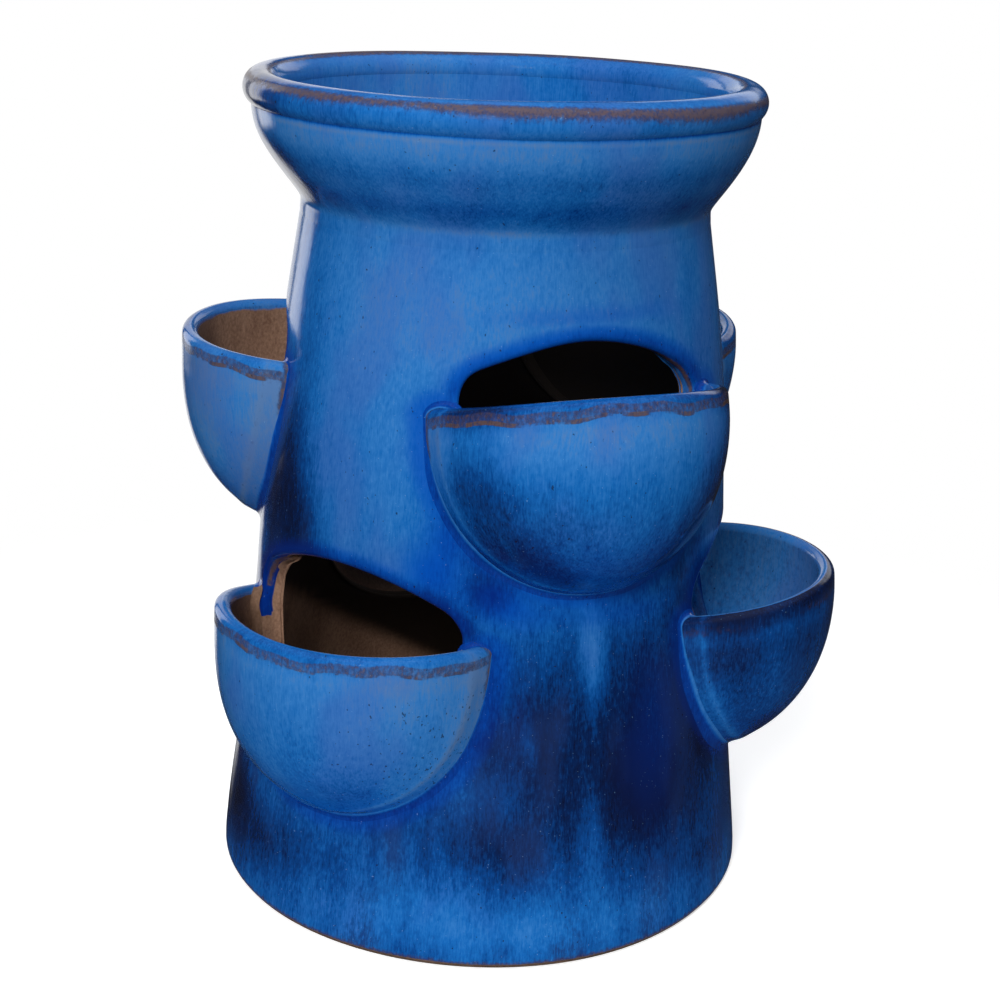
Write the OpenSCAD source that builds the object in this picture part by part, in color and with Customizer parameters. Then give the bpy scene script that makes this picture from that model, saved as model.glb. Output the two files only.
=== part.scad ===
// Strawberry jar planter: a tapered jar with a flared collar and a rolled rim.
// Six half-bowl pockets stand in two staggered rows, each luted to the wall over an arched opening.
// Millimetres. The origin is the centre of the base on the ground, +Z is up and -Y is the front.
// A turn is an angle round the jar from the front, positive towards +X.

/* [Jar] */
// Height from the ground to the top of the rolled rim
jar_height = 450; // [430:1:480]
// Height of the collar and its rolled rim together, above the neck
collar_height = 65.4; // [60:0.1:75]
// Outer radius of the wall at the ground
base_radius = 152.8; // [146:0.1:158]
// Draw-in of the wall from its base radius, a quarter of the way up to the neck
hip_draw_in = 10.8; // [6:0.1:15]
// Draw-in of the wall halfway up to the neck
waist_draw_in = 20.4; // [16:0.1:25]
// Draw-in of the wall three quarters of the way up to the neck
shoulder_draw_in = 27.3; // [23:0.1:32]
// Draw-in of the wall at the neck
neck_draw_in = 41.6; // [37:0.1:46]
// Thickness of the thrown wall
wall = 10; // [8:0.5:12]

/* [Collar and rim] */
// Flare of the collar from the neck out to the crease under the rolled rim
collar_flare = 24.1; // [20:0.1:29]
// Radius of the rolled rim's round section
bead_radius = 9.5; // [8:0.1:11]
// Inset of the middle of the rolled rim behind the collar's outer face at the crease
bead_inset = 6.5; // [4:0.1:8]
// Depth of the flat seat under the rolled rim, below the middle of its section
bead_seat = 6.5; // [5:0.1:7.5]

/* [Foot and floor] */
// Height of the bare clay foot ring
foot_height = 6; // [4:0.5:10]
// Width of the foot ring, from its outer to its inner face
foot_width = 25.6; // [18:0.1:35]
// Inset of the foot ring behind the wall's face
foot_inset = 1.2; // [0.5:0.1:3]
// Thickness of the floor slab
floor_thickness = 12; // [9:0.5:16]
// Diameter of the drain hole
drain_diameter = 25; // [15:1:40]

/* [Pockets] */
// Thickness of a pocket's shell and lip
pocket_wall = 9; // [7:0.5:11]
// Clay left between a pocket's inside and the edge of its opening
ledge = 5; // [3:0.5:8]
// Rise of an arched opening above its pocket's rim
arch_rise = 34; // [30:0.5:42]
// Radius of the arch's tight end curves
arch_end_radius = 22; // [16:1:26]
// Drop of an opening's straight sides below its pocket's rim
opening_drop = 8; // [4:1:14]
// Leg of the clay coil pressed into the seam round each pocket
coil_leg = 7; // [4:0.5:9]
// Gap between pieces that are fitted face to face
fit_gap = 0.1; // [0.05:0.01:0.3]

/* [Upper front pocket] */
// Turn of the pocket, in degrees
upper_front_turn = 24.2; // [16:0.1:32]
// Height of its rim over the bowl's own axis
upper_front_rim = 298; // [290:1:304]
// Radius of its rim
upper_front_radius = 80.8; // [76:0.1:84]
// Depth of the whole bowl
upper_front_depth = 103; // [96:1:108]
// Inset of the bowl's axis behind the wall's face
upper_front_inset = 33.5; // [26:0.5:38]
// Outward rise of the rim, in degrees
upper_front_tilt = 14.5; // [8:0.5:18]

/* [Upper left pocket] */
// Turn of the pocket, in degrees
upper_left_turn = -103; // [-109:1:-97]
// Height of its rim over the bowl's own axis
upper_left_rim = 301; // [294:1:306]
// Radius of its rim
upper_left_radius = 77.5; // [73:0.5:82]
// Depth of the whole bowl
upper_left_depth = 114; // [104:1:118]
// Inset of the bowl's axis behind the wall's face
upper_left_inset = 20; // [14:0.5:28]
// Outward rise of the rim, in degrees
upper_left_tilt = 4; // [0:0.5:12]

/* [Upper back pocket] */
// Turn of the pocket, in degrees
upper_back_turn = 142; // [134:1:150]
// Height of its rim over the bowl's own axis
upper_back_rim = 295; // [288:1:302]
// Radius of its rim
upper_back_radius = 77; // [73:0.5:82]
// Depth of the whole bowl
upper_back_depth = 106; // [100:1:112]
// Inset of the bowl's axis behind the wall's face
upper_back_inset = 22; // [16:0.5:30]
// Outward rise of the rim, in degrees
upper_back_tilt = 4; // [0:0.5:14]

/* [Lower front pocket] */
// Turn of the pocket, in degrees
lower_front_turn = -37.5; // [-44:0.5:-31]
// Height of its rim over the bowl's own axis
lower_front_rim = 177.5; // [168:0.5:182]
// Radius of its rim
lower_front_radius = 83.5; // [78:0.5:86]
// Depth of the whole bowl
lower_front_depth = 115; // [106:1:120]
// Inset of the bowl's axis behind the wall's face
lower_front_inset = 30.5; // [23:0.5:36]
// Outward rise of the rim, in degrees
lower_front_tilt = 4.5; // [0:0.5:12]

/* [Lower right pocket] */
// Turn of the pocket, in degrees
lower_right_turn = 85; // [78:1:92]
// Height of its rim over the bowl's own axis
lower_right_rim = 178.5; // [170:0.5:184]
// Radius of its rim
lower_right_radius = 78.5; // [74:0.5:83]
// Depth of the whole bowl
lower_right_depth = 106; // [100:1:114]
// Inset of the bowl's axis behind the wall's face
lower_right_inset = 16; // [11:0.5:24]
// Outward rise of the rim, in degrees
lower_right_tilt = 6; // [0:0.5:12]

/* [Lower back pocket] */
// Turn of the pocket, in degrees
lower_back_turn = 202; // [195:1:209]
// Height of its rim over the bowl's own axis
lower_back_rim = 178; // [168:1:183]
// Radius of its rim
lower_back_radius = 83; // [78:0.5:86]
// Depth of the whole bowl
lower_back_depth = 111; // [102:1:117]
// Inset of the bowl's axis behind the wall's face
lower_back_inset = 28; // [20:0.5:34]
// Outward rise of the rim, in degrees
lower_back_tilt = 5; // [0:0.5:12]

/* [Hidden] */

$fn = 96;
GLAZE = [0.10, 0.32, 0.68];
POOLED = [0.04, 0.12, 0.48];
CLAY = [0.36, 0.22, 0.15];

// One list per pocket: turn, rim height, rim radius, depth, inset, tilt
UPPER_FRONT = [upper_front_turn, upper_front_rim, upper_front_radius,
               upper_front_depth, upper_front_inset, upper_front_tilt];
UPPER_LEFT = [upper_left_turn, upper_left_rim, upper_left_radius,
              upper_left_depth, upper_left_inset, upper_left_tilt];
UPPER_BACK = [upper_back_turn, upper_back_rim, upper_back_radius,
              upper_back_depth, upper_back_inset, upper_back_tilt];
LOWER_FRONT = [lower_front_turn, lower_front_rim, lower_front_radius,
               lower_front_depth, lower_front_inset, lower_front_tilt];
LOWER_RIGHT = [lower_right_turn, lower_right_rim, lower_right_radius,
               lower_right_depth, lower_right_inset, lower_right_tilt];
LOWER_BACK = [lower_back_turn, lower_back_rim, lower_back_radius,
              lower_back_depth, lower_back_inset, lower_back_tilt];
UPPER_ROW = [UPPER_FRONT, UPPER_LEFT, UPPER_BACK];
LOWER_ROW = [LOWER_FRONT, LOWER_RIGHT, LOWER_BACK];
POCKETS = concat(UPPER_ROW, LOWER_ROW);

function turn_of(p) = p[0];
function rim_of(p) = p[1];
function radius_of(p) = p[2];
function depth_of(p) = p[3];
function tilt_of(p) = p[5];

// Distance from the jar's axis to a bowl's own axis
function reach_of(p) = wall_radius(rim_of(p)) - p[4];

// ---- Profile of the jar ----

wall_bands = 24;
section_bands = 14;
collar_bands = 9;
overcut = 1;
neck_height = jar_height - collar_height;
neck_radius = base_radius - neck_draw_in;
collar_radius = neck_radius + collar_flare;
foot_outer_radius = base_radius - foot_inset;
foot_inner_radius = foot_outer_radius - foot_width;
bead_centre_radius = collar_radius - bead_inset;
bead_middle = jar_height - bead_radius;
crease_height = bead_middle - bead_seat;
seat_half_width = sqrt(bead_radius * bead_radius - bead_seat * bead_seat);
STATIONS = [
    base_radius, base_radius - hip_draw_in, base_radius - waist_draw_in,
    base_radius - shoulder_draw_in, neck_radius
];

// Slope of the profile at a station, per quarter of the wall's height
function station_slope(i) =
    let (low = max(i - 1, 0), high = min(i + 1, len(STATIONS) - 1))
    (STATIONS[high] - STATIONS[low]) / (high - low);

// Outer radius at height z: a smooth cubic through the five station radii
function wall_radius(z) =
    let (
        quarters = len(STATIONS) - 1,
        along = min(max(z / neck_height, 0), 1) * quarters,
        i = min(floor(along), quarters - 1),
        s = along - i,
        line = STATIONS[i] * (1 - s) * (1 - s) * (1 + 2 * s) + STATIONS[i + 1] * s * s * (3 - 2 * s),
        bend = station_slope(i) * s * (1 - s) * (1 - s) - station_slope(i + 1) * s * s * (1 - s)
    )
    line + bend;

// Heights from low to high in equal steps
function steps(low, high, count) = [for (i = [0 : count]) low + (high - low) * i / count];

// The collar's outer radius at height z: a quarter sine wave from the neck to the crease
function collar_outer(z) =
    neck_radius + collar_flare * sin(90 * (z - neck_height) / (crease_height - neck_height));

// The collar's inner radius: one wall in at the neck, flush with the rolled rim's seat at the crease
function collar_inner(z) =
    let (
        share = (z - neck_height) / (crease_height - neck_height),
        top_wall = bead_inset + seat_half_width
    )
    collar_outer(z) - wall - (top_wall - wall) * share;

// ---- Pockets ----

lip_radius = pocket_wall / 2;
bowl_steps = 11;
lip_steps = 6;
crown_steps = 12;
end_steps = 4;
sill_steps = 16;
bowl_fullness = 0.83;

// Radius and depth of a bowl's curve at angle a, from 0 at the rim to 90 at the bottom
function bowl_point(radius, depth, a) =
    [radius * cos(a), -lip_radius - (depth - lip_radius) * pow(sin(a), bowl_fullness)];

// Radius of a bowl's outer face at a drop below the rim
function bowl_radius(p, drop) =
    let (share = min(max((drop - lip_radius) / (depth_of(p) - lip_radius), 0), 1))
    radius_of(p) * sqrt(1 - pow(share, 2 / bowl_fullness));

module bowl_profile(p) {
    radius = radius_of(p);
    depth = depth_of(p);
    outside = [for (i = [1 : bowl_steps]) bowl_point(radius, depth, 90 * i / bowl_steps)];
    inside = [for (i = [0 : bowl_steps - 1])
        bowl_point(radius - pocket_wall, depth - pocket_wall, 90 - 90 * i / bowl_steps)];
    lip = [for (i = [0 : lip_steps])
        let (a = 180 - 180 * i / lip_steps)
        [radius - lip_radius + lip_radius * cos(a), -lip_radius + lip_radius * sin(a)]];
    polygon(concat(outside, inside, lip));
}

// Stands a bowl at its place on the jar, tilted so that its front edge rises
module at_pocket(p) {
    rotate([0, 0, turn_of(p)])
        translate([0, -reach_of(p), rim_of(p)])
            rotate([-tilt_of(p), 0, 0])
                children();
}

// Half the width of a pocket's inside where it meets the wall's face at the rim
function inner_half_width(p) =
    let (
        inside = radius_of(p) - pocket_wall,
        face = wall_radius(rim_of(p)),
        reach = reach_of(p),
        forward = (reach * reach + face * face - inside * inside) / (2 * reach)
    )
    sqrt(face * face - forward * forward);

// Half the width of a pocket's opening, and the heights of its arch's top and its sill's bottom
function opening_half_width(p) = inner_half_width(p) - ledge;
function arch_top(p) = rim_of(p) + arch_rise;
function sill_bottom(p) = rim_of(p) - opening_drop - opening_half_width(p);

// Height of the joint between the wall's two thrown sections, midway between the rows of openings
joint_height = (max([for (p = LOWER_ROW) arch_top(p)]) + min([for (p = UPPER_ROW) sill_bottom(p)])) / 2;

// Points along an arc about a centre, from one angle to another
function arc(centre, radius, from, to, count) = [for (i = [0 : count])
    let (a = from + (to - from) * i / count)
    centre + radius * [cos(a), sin(a)]];

// The opening seen from in front: a basket-handle arch over straight sides and a round sill
module opening_outline(half_width) {
    end_centre = half_width - arch_end_radius;
    crown_radius = (end_centre * end_centre + arch_rise * arch_rise - arch_end_radius * arch_end_radius)
        / (2 * (arch_rise - arch_end_radius));
    crown_centre = arch_rise - crown_radius;
    join = atan2(-crown_centre, end_centre);
    crown = arc([0, crown_centre], crown_radius, join, 180 - join, crown_steps);
    right_end = arc([end_centre, 0], arch_end_radius, 0, join * (1 - 1 / end_steps), end_steps - 1);
    left_end = arc([-end_centre, 0], arch_end_radius, 180 - join * (1 - 1 / end_steps), 180, end_steps - 1);
    sill = arc([0, -opening_drop], half_width, 180, 360, sill_steps);
    polygon(concat(right_end, crown, left_end, sill));
}

module opening_cut(p) {
    rotate([0, 0, turn_of(p)])
        translate([0, -wall, rim_of(p)])
            rotate([90, 0, 0])
                linear_extrude(base_radius)
                    opening_outline(opening_half_width(p));
}

// ---- Seam coils ----

coil_rings = 36;
bow_steps = 3;
end_rings = 4;
end_share = 0.35;
halvings = 22;
straight_down = 270;

// A point near the wall: along is measured round its face, rise from the pocket's rim, out from its face
function wall_point(p, along, rise, out) =
    let (
        z = rim_of(p) + rise,
        face = wall_radius(z),
        a = turn_of(p) + along / face * 180 / PI
    )
    [(face + out) * sin(a), -(face + out) * cos(a), z];

// How far a point lies outside a bowl's outer face, measured from the bowl's axis
function outside_bowl(p, point) =
    let (
        turn = turn_of(p),
        side = point[0] * cos(turn) + point[1] * sin(turn),
        ahead = point[0] * sin(turn) - point[1] * cos(turn) - reach_of(p),
        up = point[2] - rim_of(p),
        flat = ahead * cos(tilt_of(p)) + up * sin(tilt_of(p)),
        drop = ahead * sin(tilt_of(p)) - up * cos(tilt_of(p))
    )
    norm([side, flat]) - bowl_radius(p, drop);

// A point on the ray that leaves the middle of the pocket's back at angle a
function ray_point(p, a, length, out) =
    wall_point(p, length * cos(a), ray_drop(p) + length * sin(a), out);
function ray_drop(p) = -depth_of(p) / 3;

// Length of the ray at which it leaves the bowl, found by halving the range that holds it
function ray_length(p, a, out) = crossing(p, a, out, 0, 2 * radius_of(p), halvings);
function crossing(p, a, out, low, high, tries) =
    let (middle = (low + high) / 2)
    tries == 0 ? middle
        : outside_bowl(p, ray_point(p, a, middle, out)) > 0
            ? crossing(p, a, out, low, middle, tries - 1)
            : crossing(p, a, out, middle, high, tries - 1);

// Leg of the coil at a ring: it is smoothed down to a part of its leg at both ends
function ring_leg(ring) =
    let (share = min(min(ring, coil_rings - ring) / end_rings, 1))
    coil_leg * (end_share + (1 - end_share) * sin(90 * share));

// Section of the coil: two legs on the wall and the bowl, and a hollow face between them
function coil_section(leg) = concat(
    [[fit_gap, fit_gap], [leg, fit_gap]],
    [for (i = [1 : bow_steps])
        let (a = 90 * i / (bow_steps + 1), bow = leg - fit_gap)
        [leg - bow * sin(a), leg - bow * cos(a)]],
    [[fit_gap, leg]]
);

module seam_coil(p) {
    start = 180 - atan2(-ray_drop(p) - lip_radius, radius_of(p));
    turn_step = 2 * (straight_down - start) / coil_rings;
    sides = bow_steps + 3;
    points = [for (ring = [0 : coil_rings], at = coil_section(ring_leg(ring)))
        let (a = start + turn_step * ring)
        ray_point(p, a, ray_length(p, a, at[1]) + at[0], at[1])];
    skin = [for (ring = [0 : coil_rings - 1], i = [0 : sides - 1])
        let (next = (i + 1) % sides)
        each [
            [ring * sides + i, (ring + 1) * sides + next, (ring + 1) * sides + i],
            [ring * sides + i, ring * sides + next, (ring + 1) * sides + next]
        ]];
    first_cap = [for (i = [0 : sides - 1]) sides - 1 - i];
    last_cap = [for (i = [0 : sides - 1]) coil_rings * sides + i];
    polyhedron(points, concat(skin, [first_cap, last_cap]));
}

// ---- Sub-parts ----

// The jar's outer form below the neck as a solid, grown by a margin
module jar_core(margin = 0) {
    heights = steps(0, neck_height, wall_bands);
    rotate_extrude()
        polygon(concat(
            [[0, 0]],
            [for (z = heights) [wall_radius(z) + margin, z]],
            [[0, neck_height]]
        ));
}

module foot_ring() {
    color(CLAY)
        difference() {
            cylinder(h = foot_height, r = foot_outer_radius);
            translate([0, 0, -overcut])
                cylinder(h = foot_height + 2 * overcut, r = foot_inner_radius);
        }
}

module floor_slab() {
    top = foot_height + floor_thickness;
    color(CLAY)
        difference() {
            translate([0, 0, foot_height])
                cylinder(
                    h = floor_thickness,
                    r1 = wall_radius(foot_height) - wall - fit_gap,
                    r2 = wall_radius(top) - wall - fit_gap
                );
            translate([0, 0, foot_height - overcut])
                cylinder(h = floor_thickness + 2 * overcut, d = drain_diameter);
        }
}

// A thrown section of the wall between two heights, with the openings that fall in it
module wall_section(low, high) {
    heights = steps(low, high, section_bands);
    color(GLAZE)
        difference() {
            rotate_extrude()
                polygon(concat(
                    [for (z = heights) [wall_radius(z), z]],
                    [for (i = [section_bands : -1 : 0]) [wall_radius(heights[i]) - wall, heights[i]]]
                ));
            for (p = POCKETS)
                opening_cut(p);
        }
}

module lower_wall() {
    wall_section(foot_height, joint_height);
}

module upper_wall() {
    wall_section(joint_height, neck_height);
}

module collar() {
    heights = steps(neck_height, crease_height, collar_bands);
    color(GLAZE)
        rotate_extrude()
            polygon(concat(
                [for (z = heights) [collar_outer(z), z]],
                [for (i = [collar_bands : -1 : 0]) [collar_inner(heights[i]), heights[i]]]
            ));
}

module rim_bead() {
    color(GLAZE)
        rotate_extrude()
            difference() {
                translate([bead_centre_radius, bead_middle])
                    circle(bead_radius);
                translate([bead_centre_radius - 2 * bead_radius, crease_height - 2 * bead_radius])
                    square([4 * bead_radius, 2 * bead_radius]);
            }
}

module pocket(p) {
    color(GLAZE)
        difference() {
            at_pocket(p)
                rotate([0, 0, 90])
                    rotate_extrude()
                        bowl_profile(p);
            rotate([0, 0, turn_of(p) + 90])
                jar_core(fit_gap);
        }
}

module coil(p) {
    color(POOLED)
        seam_coil(p);
}

foot_ring();
floor_slab();
lower_wall();
upper_wall();
collar();
rim_bead();
pocket(UPPER_FRONT);  // pocket_upper_front
pocket(UPPER_LEFT);  // pocket_upper_left
pocket(UPPER_BACK);  // pocket_upper_back
pocket(LOWER_FRONT);  // pocket_lower_front
pocket(LOWER_RIGHT);  // pocket_lower_right
pocket(LOWER_BACK);  // pocket_lower_back
coil(UPPER_FRONT);  // coil_upper_front
coil(UPPER_LEFT);  // coil_upper_left
coil(UPPER_BACK);  // coil_upper_back
coil(LOWER_FRONT);  // coil_lower_front
coil(LOWER_RIGHT);  // coil_lower_right
coil(LOWER_BACK);  // coil_lower_back
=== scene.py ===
import bpy
import numpy as np
from numpy import array, clip, concatenate, cos, linspace, maximum, minimum, pi, radians, sin, sqrt, stack
from mathutils import Matrix


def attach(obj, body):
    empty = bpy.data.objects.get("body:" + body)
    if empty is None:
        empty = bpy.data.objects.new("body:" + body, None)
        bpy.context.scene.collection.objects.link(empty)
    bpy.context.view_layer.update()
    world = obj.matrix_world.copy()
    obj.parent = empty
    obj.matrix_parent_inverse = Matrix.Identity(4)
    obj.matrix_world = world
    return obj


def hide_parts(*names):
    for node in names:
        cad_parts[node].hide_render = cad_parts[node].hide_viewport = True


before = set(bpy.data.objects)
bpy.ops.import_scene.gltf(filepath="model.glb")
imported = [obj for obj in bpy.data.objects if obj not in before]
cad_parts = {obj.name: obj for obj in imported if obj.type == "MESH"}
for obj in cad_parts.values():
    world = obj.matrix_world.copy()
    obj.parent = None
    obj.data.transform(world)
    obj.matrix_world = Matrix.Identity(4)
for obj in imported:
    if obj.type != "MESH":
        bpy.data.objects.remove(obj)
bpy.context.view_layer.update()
print("frame loaded:", len(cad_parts), "nodes")

# Metres. A turn is an angle round the jar from the front (-Y), positive towards +X.
jar = dict(
    neck=0.3846, wall=0.01,
    stations=(0.1528, 0.142, 0.1324, 0.1255, 0.1112),   # outer radii at quarters of the neck's height
    columns=240,                                         # vertices round the jar
)
collar = dict(flare=0.0241, crease=0.434, topWall=0.01343, neckFillet=0.0013, innerFillet=0.0008,
              rimGap=0.0006, rimFillet=0.0004)
bead = dict(middle=0.4405, centre=0.1288, radius=0.0095)
shell = dict(wall=0.009, lip=0.0045, ledge=0.005)

# What a pocket has unless its own entry differs. Form: the hole's lean, lift, pinch and slanting sides, the sag of
# the lip's left end, and the bowl's fullness. Glaze, as shares: bare clay inside, painted shade there and on the cut
# face, pits, brown lip line, darker at the bottom, painted shade beside the seam, paler above and at the right,
# painted light inside, and a pale top band that is partly thin glaze and partly painted sheen.
plainPocket = dict(
    lean=0.0, lift=0.0, pinch=0.0, slantLeft=0.0, slantRight=0.0, sag=0.0, fullness=0.83,
    inside=1.0, paintedShade=1.0, paintedShadeOnCut=1.0, pits=0.0, line=1.0,
    deepen=0.36, seamPaintedShade=0.15, pale=0.0, paleRight=0.0, paintedLightInside=0.0, thinTopAndSheen=0.0,
)
ownPocket = dict(  # turn and tilt in degrees
    upper_front=dict(turn=24.2, rim=0.298, radius=0.0808, depth=0.103, inset=0.0335, tilt=14.5,
                     lean=-0.074, pinch=0.12, slantRight=0.75, paintedShade=0.95, paintedShadeOnCut=0.8,
                     seamPaintedShade=0.2, pale=-0.09, paleRight=-0.24, thinTopAndSheen=0.17),
    upper_left=dict(turn=-103, rim=0.301, radius=0.0775, depth=0.114, inset=0.02, tilt=4,
                    fullness=0.78, paintedShade=0.0, paintedShadeOnCut=0.5,
                    deepen=0.26, seamPaintedShade=0.1, pale=-0.12, paleRight=0.4),
    upper_back=dict(turn=142, rim=0.299, radius=0.0785, depth=0.106, inset=0.022, tilt=4, pale=0.05),
    lower_front=dict(turn=-37.5, rim=0.1775, radius=0.0835, depth=0.115, inset=0.0305, tilt=4.5,
                     lean=0.02, lift=-0.0032, slantLeft=1.5, sag=0.0085, fullness=0.79,
                     paintedShade=0.3, paintedShadeOnCut=0.0, pits=1.0,
                     deepen=0.12, seamPaintedShade=0.1, pale=0.02, paleRight=0.16),
    lower_right=dict(turn=85, rim=0.1785, radius=0.0785, depth=0.106, inset=0.016, tilt=6,
                     fullness=0.92, inside=0.0, paintedShade=0.0, paintedShadeOnCut=0.3, line=0.0,
                     deepen=0.3, seamPaintedShade=0.14, pale=-0.32, paleRight=-0.1, paintedLightInside=0.06),
    lower_back=dict(turn=202, rim=0.178, radius=0.083, depth=0.111, inset=0.028, tilt=5,
                    paintedShade=0.6, deepen=0.34),
)
pockets = {name: plainPocket | own for name, own in ownPocket.items()}


# An S-curve that is 0 below low and 1 above high
def ease(x, low, high):
    t = clip((x - low) / (high - low), 0, 1)
    return t * t * (3 - 2 * t)


# A bell of height 1 at the middle that fades to about a third at one spread
def bell(x, middle, spread):
    return np.exp(-((x - middle) / spread) ** 2)


# Angle a minus angle b, brought into -pi to pi
def turnBetween(a, b):
    return (a - b + pi) % (2 * pi) - pi


# Directions brought to length 1
def unit(v):
    return v / maximum(np.linalg.norm(v, axis=-1, keepdims=True), 1e-12)


# The larger of two numbers with a round corner: half the sum plus a hyperbola of half the difference
def softMax(a, b, corner):
    return (a + b) / 2 + sqrt(((a - b) / 2) ** 2 + corner ** 2)


# A point at a turn, a distance from the jar's axis and a height
def onJar(turn, r, z):
    return stack([r * sin(turn), -r * cos(turn), z + 0 * turn], axis=-1)


# Quads between neighbouring rows and columns of a table of vertex numbers
def gridQuads(ids, closed):
    if closed:
        ids = concatenate([ids, ids[:, :1]], axis=1)
    return stack([ids[:-1, :-1], ids[:-1, 1:], ids[1:, 1:], ids[1:, :-1]], axis=-1).reshape(-1, 4)


# Collects grids of points with glaze fields, and welds them into one mesh
class Sheet:
    def __init__(self):
        self.points, self.quads, self.fields, self.count = [], [], [], 0

    def add(self, points, fields, closed=False, flip=False):
        ids = np.arange(points[..., 0].size).reshape(points.shape[:2]) + self.count
        quads = gridQuads(ids, closed)
        self.quads.append(quads[:, ::-1] if flip else quads)
        self.points.append(points.reshape(-1, 3))
        self.fields.append({k: np.broadcast_to(v, points.shape[:2]).reshape(-1) for k, v in fields.items()})
        self.count += ids.size

    # Closes the first and last column of a grid, each with a fan to its own middle
    def closeEnds(self, points, fields):
        for column, flip in ((0, False), (-1, True)):
            edge = points[:, column]
            middle = np.broadcast_to(edge[:-1].mean(axis=0), edge.shape)
            ends = {k: stack([f[:, column]] * 2, axis=1) for k, f in fields.items()}
            self.add(stack([edge, middle], axis=1), ends, flip=flip)

    # Vertices within 2 microns become one, and quads that lost a side become triangles
    def arrays(self):
        points = concatenate(self.points)
        quads = concatenate(self.quads)
        keys = np.round(points / 2e-6).astype(np.int64)
        _, first, back = np.unique(keys, axis=0, return_index=True, return_inverse=True)
        quads = back.reshape(-1)[quads]
        fields = {k: concatenate([f[k] for f in self.fields])[first] for k in self.fields[0]}
        same = quads == np.roll(quads, -1, axis=1)
        four = quads[same.sum(1) == 0]
        short = same.sum(1) == 1
        order = (np.argmax(same, axis=1)[short][:, None] + array([1, 2, 3])) % 4
        three = np.take_along_axis(quads[short], order, axis=1)
        return points[first], four, three, fields


# Outward face directions times twice their area, summed at each vertex
def vertexNormals(points, four, three):
    normals = np.zeros_like(points)
    for faces, ends in ((four, (0, 1, 2, 3)), (three, (0, 1, 2, 2))):
        if len(faces):
            a, b, c, d = (points[faces[:, k]] for k in ends)
            face = np.cross(c - a, d - b)
            for k in range(faces.shape[1]):
                np.add.at(normals, faces[:, k], face)
    return unit(normals)


# A mesh object of welded arrays, with its faces turned outwards if the volume they close is negative
def makeObject(name, points, four, three, fields, normals=None):
    a, b, c, d = (points[four[:, k]] for k in range(4))
    volume = (np.cross(a, b) * c).sum() + (np.cross(a, c) * d).sum()
    if len(three):
        volume += (np.cross(points[three[:, 0]], points[three[:, 1]]) * points[three[:, 2]]).sum()
    if volume < 0:
        four, three = four[:, ::-1], three[:, ::-1]
    used = np.zeros(len(points), bool)
    used[four.reshape(-1)] = True
    used[three.reshape(-1)] = True
    number = np.cumsum(used) - 1
    mesh = bpy.data.meshes.new(name)
    mesh.from_pydata(points[used].tolist(), [], number[four].tolist() + number[three].tolist())
    for key, values in fields.items():
        mesh.attributes.new(key, "FLOAT", "POINT").data.foreach_set("value", values[used].astype(np.float32))
    mesh.polygons.foreach_set("use_smooth", np.ones(len(mesh.polygons), bool))
    mesh.update()
    if normals is not None:
        mesh.normals_split_custom_set_from_vertices(normals[used].tolist())
    made = bpy.data.objects.new(name, mesh)
    bpy.context.scene.collection.objects.link(made)
    return made


# Outer radius of the thrown wall at height z: a smooth cubic through the stations, straight on above the neck
def wallRadius(z):
    stations = array(jar["stations"])
    slopes = np.gradient(stations)
    along = clip(z / jar["neck"], 0, 1) * 4
    i = minimum(along.astype(int), 3)
    s = along - i
    level = stations[i] * (1 - s) ** 2 * (1 + 2 * s) + stations[i + 1] * s ** 2 * (3 - 2 * s)
    bend = slopes[i] * s * (1 - s) ** 2 - slopes[i + 1] * s ** 2 * (1 - s)
    return level + bend + slopes[4] * maximum(z / jar["neck"] * 4 - 4, 0)


hand = dict(hollow=0.003, hollowTurn=-1.45, wave=0.0004, ripple=0.00025, heel=0.0032, heelTurn=-1.35,
            footTuck=0.0008, footHeight=0.012)
drip = dict(turn=-1.19, z=0.164, thick=0.003, wide=0.036, tall=0.008)


# How far the wall is pushed in or out: a hollow at the upper left, two slow waves, a fuller heel at the left,
# a tuck at the foot, and one hanging drip of glaze
def handPull(turn, z):
    facing = lambda way: maximum(cos(turn - way), 0) ** 2
    hollow = -hand["hollow"] * ease(z, 0.24, 0.31) * (1 - ease(z, 0.385, 0.425)) * facing(hand["hollowTurn"])
    waves = hand["wave"] * sin(2 * turn + 1) * cos(14 * z) + hand["ripple"] * sin(5 * turn + 40 * z)
    heel = hand["heel"] * (1 - ease(z, 0.02, 0.12)) * facing(hand["heelTurn"])
    tuck = -hand["footTuck"] * clip((hand["footHeight"] - z) / hand["footHeight"], 0, 1) ** 2
    hang = drip["thick"] * bell(turnBetween(turn, drip["turn"]), 0, drip["wide"]) * bell(z, drip["z"], drip["tall"])
    return hollow + waves + heel + tuck + hang


# Outer radius of the wall at a turn and height, as the hands left it
def wallSurface(turn, z):
    return wallRadius(z) + handPull(turn, z)


# The collar's outer radius: a quarter sine wave from the neck to the crease, straight on below the neck
def collarRadius(z):
    rise = collar["crease"] - jar["neck"]
    share = (z - jar["neck"]) / rise
    wave = sin(pi / 2 * clip(share, 0, 1))
    return jar["stations"][4] + collar["flare"] * (wave + pi / 2 * minimum(share, 0))


# The outside of wall and collar together, with a soft corner at the neck
def outerForm(turn, z):
    return softMax(wallSurface(turn, z), collarRadius(z) + handPull(turn, z), collar["neckFillet"])


# The rolled rim's own middle radius and thickness round the jar, both slightly uneven
def beadMiddle(turn):
    return bead["centre"] + 0.0006 * sin(2 * turn + 0.5) + 0.0012 * maximum(cos(turn + 1.6), 0) ** 2


def beadThick(turn):
    return bead["radius"] * (1 + 0.02 * sin(3 * turn + 1) + 0.012 * sin(7 * turn))


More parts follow.
